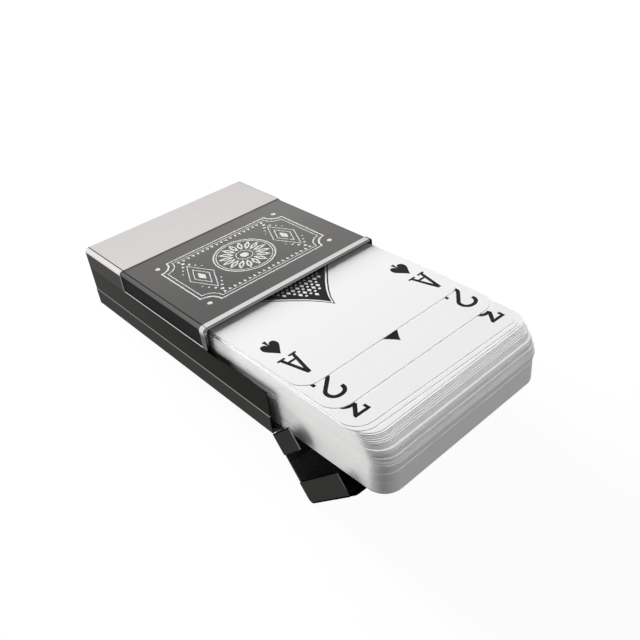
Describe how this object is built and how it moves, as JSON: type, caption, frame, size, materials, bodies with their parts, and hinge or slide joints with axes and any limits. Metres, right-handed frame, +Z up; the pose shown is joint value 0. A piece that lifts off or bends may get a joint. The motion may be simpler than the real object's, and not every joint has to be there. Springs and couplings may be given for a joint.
{
  "type": "playing card case",
  "caption": "Flip-top metal case for a deck of playing cards, lying on its back with the lid open and the deck drawn out of its mouth.",
  "frame": {"origin": "middle of the flat back face that the case rests on", "axes": "+X across the case to its right seen from the mouth, +Y to the closed rear end, +Z up out of the printed panel; the mouth faces -Y"},
  "size_m": [0.063, 0.1288, 0.0354],
  "materials": {
    "dark_shell": "dark gunmetal anodised, satin",
    "satin_silver": "clear anodised, fine satin grain",
    "inlay_grey": "dark grey satin lacquer with a printed ornament",
    "black_liner": "matt black",
    "black_lining": "matt black",
    "hinge_steel": "drawn steel",
    "card_stock": "smooth coated card"
  },
  "bodies": {
    "case": {"lower_shell": "dark_shell", "middle_shell": "dark_shell", "rear_band": "satin_silver", "front_inlay": "inlay_grey", "mouth_trim": "satin_silver", "case_liner": "black_liner", "case_hinge_leaf": "hinge_steel", "case_hinge_rivets": "hinge_steel", "hinge_pin": "hinge_steel"},
    "lid": {"lid_shell": "dark_shell", "lid_end_lining": "black_lining", "lid_panel_lining": "black_lining", "lid_hinge_leaf": "hinge_steel", "lid_hinge_rivets": "hinge_steel"},
    "ace": {"ace_of_spades": "card_stock"},
    "two": {"two_of_spades": "card_stock"},
    "three": {"three_of_spades": "card_stock"},
    "staggered_deck": {"fourth_card": "card_stock", "fifth_card": "card_stock", "upper_staggered_cards": "card_stock", "lower_staggered_cards": "card_stock"},
    "squared_deck": {"squared_cards": "card_stock"}
  },
  "joints": [
    {"name": "lid_hinge", "type": "hinge", "parent": "case", "child": "lid", "pos_m": [0, -0.0469, 0.00085], "axis": [1, 0, 0], "range_deg": [0, 60]},
    {"name": "ace_slide", "type": "slide", "parent": "case", "child": "ace", "axis": [0, -1, 0], "range_m": [-0.0132, 0.0762]},
    {"name": "two_slide", "type": "slide", "parent": "case", "child": "two", "axis": [0, -1, 0], "range_m": [-0.0246, 0.0651]},
    {"name": "three_slide", "type": "slide", "parent": "case", "child": "three", "axis": [0, -1, 0], "range_m": [-0.0321, 0.0573]},
    {"name": "staggered_slide", "type": "slide", "parent": "case", "child": "staggered_deck", "axis": [0, -1, 0], "range_m": [-0.0333, 0.056]},
    {"name": "squared_slide", "type": "slide", "parent": "case", "child": "squared_deck", "axis": [0, -1, 0], "range_m": [-0.0378, 0.0507]}
  ]
}
